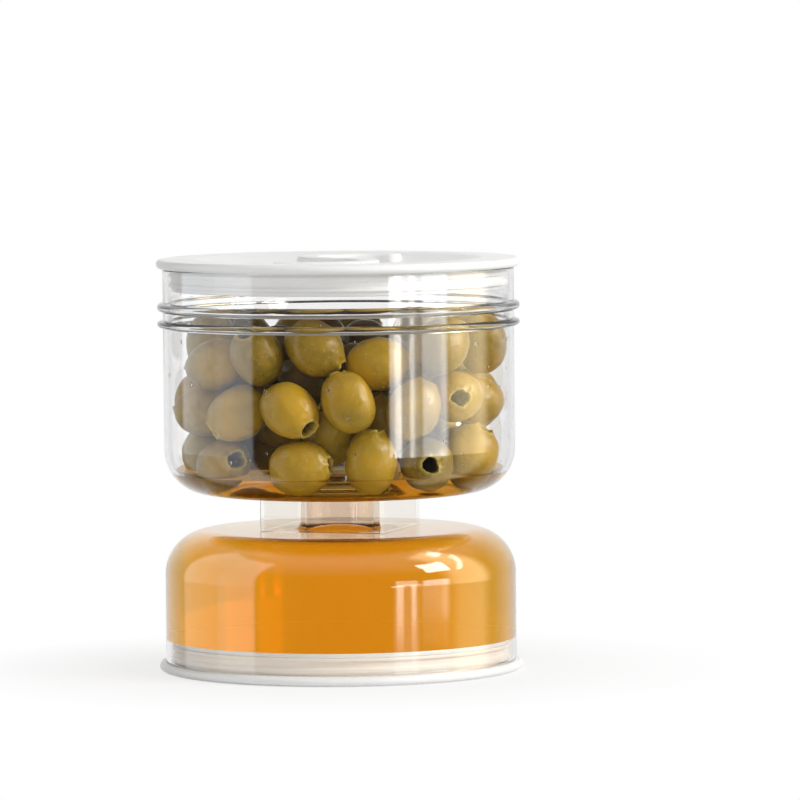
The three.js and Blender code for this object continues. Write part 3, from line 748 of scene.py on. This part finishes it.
olive_nodes = sorted(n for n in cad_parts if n.startswith("olive_") and n != "olive_heap")
poses = {name: olive_pose(name) for name in olive_nodes}
for number, (name, pose) in enumerate(poses.items()):
    # the top row gets a darker tone as painted shade under the lid
    tone = TOP_ROW_TONE if pose[0].z > TOP_ROW_Z * MM else USUAL_TONE
    made = olive_mesh(*pose, seed=number + 1, usual_tone=tone)
    piece(f"pitted_{name}", made, FLESH, "olive", "upper", name, sharp=60.0)

turns = random.Random(5)
for number, middle in enumerate(fill([pose[0] / MM for pose in poses.values()])):
    axis = Vector([turns.gauss(0, 1) for _ in range(3)]).normalized()
    # the first of them stands for the whole heap in the CAD
    nodes = ("olive_heap",) if number == 0 else ()
    # the hidden olives get a low tone and painted shade over all their skin, for the shade between the olives
    made = olive_mesh(middle * MM, axis, INNER_SIZE, 101 + number, INNER_TONE, INNER_DARK)
    piece(f"inner_olive_{number + 1:02d}", made, FLESH, "olive", "upper", *nodes, sharp=60.0)


# Drops on the inside of the upper wall

def drops():
    """Flat beads of liquid, a little longer than wide and fuller at the bottom."""
    dice = random.Random(7)
    count, low, high, flat = 150, 66, 122, 0.42
    bm = bmesh.new()
    for _ in range(count):
        azimuth = dice.uniform(0, 2 * math.pi)
        z = dice.uniform(low, high)
        radius = dice.choice((0.2, 0.25, 0.3, 0.3, 0.4, 0.6)) * dice.uniform(0.8, 1.2)
        stretch = dice.uniform(1.0, 1.5)
        centre = Vector((INNER_R * math.cos(azimuth), INNER_R * math.sin(azimuth), z))
        made = bmesh.ops.create_icosphere(bm, subdivisions=2, radius=radius)["verts"]
        out = Vector((math.cos(azimuth), math.sin(azimuth), 0))
        side = Vector((-math.sin(azimuth), math.cos(azimuth), 0))
        for v in made:
            depth, across, up = v.co.x, v.co.y, v.co.z
            sag = 1 - 0.25 * max(-1, min(1, up / radius))
            v.co = (centre - out * (flat * depth) + side * across * sag + Vector((0, 0, up * stretch))) * MM
    return bm


piece("wall_drops", drops(), DROP, "brine", "upper")


# Stage, light and camera

def plate(name, half, z, material):
    """A flat square of the stage, lengths in metres."""
    bm = bmesh.new()
    bmesh.ops.create_grid(bm, x_segments=2, y_segments=2, size=half)
    mesh = bpy.data.meshes.new(name)
    bm.to_mesh(mesh)
    bm.free()
    mesh.materials.append(material)
    made = bpy.data.objects.new(name, mesh)
    made.location.z = z
    bpy.context.scene.collection.objects.link(made)
    return made


def seen_and_mirrored(tree):
    """Two numbers about a ray: 1 where it comes from the camera or has only passed through clear pieces
    since, and 1 where a gloss has turned it on its way."""
    path = node(tree, "ShaderNodeLightPath")

    def maths(operation, a, b):
        return node(tree, "ShaderNodeMath", {0: a, 1: b}, operation=operation).outputs[0]

    turned = maths("GREATER_THAN", path.outputs["Glossy Depth"], 0.5)
    passed = maths("MULTIPLY", path.outputs["Is Transmission Ray"], maths("SUBTRACT", 1.0, turned))
    seen = maths("MAXIMUM", path.outputs["Is Camera Ray"], passed)
    beyond = maths("MAXIMUM", path.outputs["Is Glossy Ray"], path.outputs["Is Transmission Ray"])
    return seen, maths("MULTIPLY", beyond, maths("SUBTRACT", 1.0, seen))


def floor_material():
    """A pale matt floor that the camera sees as white, with a part of the object's shadow left in it. The
    gloss of the jar mirrors the studio in its place."""
    material, tree = new_material("pale_floor")
    where = node(tree, "ShaderNodeTexCoord").outputs["Object"]
    cloud = noise_map(tree, 6.0, low=0.0, high=1.0)
    matt = node(tree, "ShaderNodeBsdfPrincipled", {
        "Base Color": mixed(tree, cloud, rgb(0.86, 0.86, 0.86), rgb(0.88, 0.88, 0.88)), "Roughness": 0.8,
        "Specular IOR Level": 0.0})
    white = node(tree, "ShaderNodeEmission", {"Color": rgb(1, 1, 1), "Strength": 1.0})
    open_air = node(tree, "ShaderNodeBsdfTransparent")
    seen, mirrored = seen_and_mirrored(tree)
    away = node(tree, "ShaderNodeVectorMath", {0: where}, operation="LENGTH").outputs["Value"]
    # the white share grows from under the jar to the open floor, distances in metres
    share = node(tree, "ShaderNodeMapRange", {
        "Value": away, "From Min": 0.05, "From Max": 0.13, "To Min": 0.72, "To Max": 1.0}).outputs["Result"]
    amount = node(tree, "ShaderNodeMath", {0: seen, 1: share}, operation="MULTIPLY").outputs[0]
    pale = node(tree, "ShaderNodeMixShader", {0: amount, 1: matt.outputs[0], 2: white.outputs[0]})
    out = node(tree, "ShaderNodeMixShader", {0: mirrored, 1: pale.outputs[0], 2: open_air.outputs[0]})
    node(tree, "ShaderNodeOutputMaterial", {"Surface": out.outputs[0]})
    return material


floor = plate("floor", 12.0, -0.0002, floor_material())
floor.visible_glossy = False


def between(tree, value, low, high, soft):
    """1 where value lies from low to high, fading out over soft on both sides."""
    rise = node(tree, "ShaderNodeMapRange", {
        "Value": value, "From Min": low - soft, "From Max": low, "To Min": 0.0, "To Max": 1.0,
    }, interpolation_type="SMOOTHSTEP").outputs["Result"]
    fall = node(tree, "ShaderNodeMapRange", {
        "Value": value, "From Min": high, "From Max": high + soft, "To Min": 1.0, "To Max": 0.0,
    }, interpolation_type="SMOOTHSTEP").outputs["Result"]
    return node(tree, "ShaderNodeMath", {0: rise, 1: fall}, operation="MULTIPLY").outputs[0]


# The windows and walls that the outside of the jar mirrors: azimuth range in degrees to the right of the
# front, softness of the sides, elevation range, softness of the ends, radiance, tint, and how far the patch
# leans to the right for each degree that it rises. The walls of the upper chamber mirror what lies above
# about -4.3 degrees, and those of the lower chamber what lies below.
COOL, BLUE, WARM = (0.86, 0.94, 1.04), (0.62, 0.78, 1.1), (1.0, 0.95, 0.85)
AMBER, PLAIN = (1.0, 0.84, 0.52), (1.0, 1.0, 1.0)
MIRRORED = (
    (37.5, 41, 1.3, -5.2, -2, 1.0, 5.0, WARM, 0), (47.8, 50.2, 1.0, -5.2, -2, 1.0, 5.0, WARM, 0),
    (34, 40, 1.5, -4.3, -2, 0.08, 4.5, PLAIN, 0), (40, 54, 1.5, -4.28, 0, 0.08, 2.2, PLAIN, 0),
    (57, 75, 1.5, -4.3, 6, 0.08, 3.4, COOL, 0),
    (36.5, 51.5, 1.0, -1, 7, 2.0, 3.4, WARM, 0), (36, 52, 2.0, -25, -2, 2.0, 0.8, WARM, 0),
    (56, 75, 2.5, -5.1, 6, 1.0, 1.6, WARM, 0), (71, 74, 1.0, -5.1, 6, 1.0, 1.0, WARM, 0),
    (58, 70, 1.0, 51, 56, 2.0, 10.0, PLAIN, 0.8), (71, 75, 1.0, 22, 44, 2.0, 8.0, PLAIN, 0.8),
    (88, 104, 14.0, -60, 60, 3.0, 1.4, AMBER, 0), (82, 106, 14.0, -4.3, 60, 0.6, 2.0, AMBER, 0),
    (-124, -60, 2.0, -60, 50, 3.0, 0.75, COOL, 0), (-124, -60, 2.0, -4.25, 50, 0.3, 0.5, COOL, 0),
    (-88, -60, 2.0, -60, -4.25, 0.1, 0.5, PLAIN, 0), (-88, -60, 2.0, -4.2, -3.5, 0.05, 0.3, BLUE, 0),
    (-88, -60, 2.0, -3.4, 50, 0.2, 0.4, PLAIN, 0),
)


ROOM_LEVEL = 0.42    # the even light that the room throws on the jar


def set_world():
    """The studio round the jar: even light, the windows and walls that a gloss mirrors, and plain white
    behind."""
    world = bpy.data.worlds.new("studio")
    bpy.context.scene.world = world
    world.use_nodes = True
    tree = world.node_tree
    tree.nodes.clear()
    toward = node(tree, "ShaderNodeSeparateXYZ", {0: node(tree, "ShaderNodeTexCoord").outputs["Generated"]})

    def maths(operation, a, b=0.0):
        return node(tree, "ShaderNodeMath", {0: a, 1: b}, operation=operation).outputs[0]

    def ramp(value, start, end, low, high):
        return node(tree, "ShaderNodeMapRange", {
            "Value": value, "From Min": start, "From Max": end, "To Min": low, "To Max": high,
        }).outputs["Result"]

    ahead = maths("MULTIPLY", toward.outputs["Y"], -1.0)
    azimuth = maths("DEGREES", maths("ARCTAN2", toward.outputs["X"], ahead))
    elevation = maths("DEGREES", maths("ARCSINE", toward.outputs["Z"]))
    outside = node(tree, "ShaderNodeLightPath").outputs["Is Glossy Ray"]
    # the front of the room is dark in the outside gloss, and less so in what is turned inside the plastic
    dark = ramp(outside, 0.0, 1.0, 0.16, 0.06)
    grey = maths("MAXIMUM", ramp(toward.outputs["Y"], 0.5, 0.97, dark, 1.0),
                 ramp(toward.outputs["Z"], 0.35, 0.9, 0.0, 0.8))
    mirror = node(tree, "ShaderNodeCombineXYZ", {0: grey, 1: grey, 2: grey}).outputs[0]
    for left, right, soft, low, high, fade, radiance, tint, lean in MIRRORED:
        upright = maths("SUBTRACT", azimuth, maths("MULTIPLY", elevation, lean))
        patch = maths("MULTIPLY", between(tree, upright, left, right, soft),
                      between(tree, elevation, low, high, fade))
        shown = maths("MULTIPLY", patch, outside)
        shade = node(tree, "ShaderNodeVectorMath", {
            0: [radiance * c for c in tint], "Scale": shown}, operation="SCALE").outputs[0]
        mirror = node(tree, "ShaderNodeVectorMath", {0: mirror, 1: shade}, operation="ADD").outputs[0]
    # straight on and through clear pieces the world is plain white, and a gloss mirrors the studio
    seen, mirrored = seen_and_mirrored(tree)
    lit = mixed(tree, mirrored, rgb(ROOM_LEVEL, ROOM_LEVEL, ROOM_LEVEL), mirror)
    colour = mixed(tree, seen, lit, rgb(1, 1, 1))
    back = node(tree, "ShaderNodeBackground", {"Color": colour, "Strength": 1.0})
    node(tree, "ShaderNodeOutputWorld", {"Surface": back.outputs[0]})


set_world()


def softbox(name, azimuth, elevation, distance, size, level, tint=(1, 1, 1), shine=True):
    """A square lamp that faces the jar's middle. Azimuth is degrees to the right of the camera's side, and
    level is how bright it makes a matt white surface that faces it."""
    data = bpy.data.lights.new(name, "AREA")
    data.shape = "RECTANGLE"
    data.size = data.size_y = size
    data.energy = level * math.pi ** 2 * distance ** 2
    data.color = tint
    made = bpy.data.objects.new(name, data)
    a, e = math.radians(azimuth), math.radians(elevation)
    target = Vector((0, 0, 0.07))
    away = Vector((math.sin(a) * math.cos(e), -math.cos(a) * math.cos(e), math.sin(e)))
    made.location = target + distance * away
    made.rotation_euler = (target - made.location).to_track_quat("-Z", "Y").to_euler()
    made.visible_camera = False
    made.visible_glossy = shine
    made.visible_transmission = False
    bpy.context.scene.collection.objects.link(made)


softbox("window", 70, 30, 1.4, 0.46, 0.70, tint=(1.0, 0.99, 0.97))
softbox("front", -14, 12, 1.4, 0.6, 0.17, shine=False)
softbox("top", 0, 84, 1.2, 0.8, 0.05, shine=False)


def set_camera():
    """A long lens that looks slightly down on the jar, as in the photo."""
    turn, dip, roll = math.radians(0.55), math.radians(3.61), math.radians(0.48)
    ahead = Vector((math.sin(turn) * math.cos(dip), math.cos(turn) * math.cos(dip), -math.sin(dip)))
    right = ahead.cross(Vector((0, 0, 1))).normalized()
    up = right.cross(ahead)
    cam_right = right * math.cos(roll) - up * math.sin(roll)
    cam_up = up * math.cos(roll) + right * math.sin(roll)
    data = bpy.data.cameras.new("camera")
    data.lens, data.sensor_width = 285.3, 36.0
    data.sensor_fit = "HORIZONTAL"
    data.clip_start, data.clip_end = 0.05, 60
    made = bpy.data.objects.new("camera", data)
    basis = Matrix((cam_right, cam_up, -ahead)).transposed().to_4x4()
    made.matrix_world = Matrix.Translation((0, -2.0, 0.211)) @ basis
    bpy.context.scene.collection.objects.link(made)
    bpy.context.scene.camera = made


set_camera()
bpy.context.scene.view_settings.view_transform = "Standard"
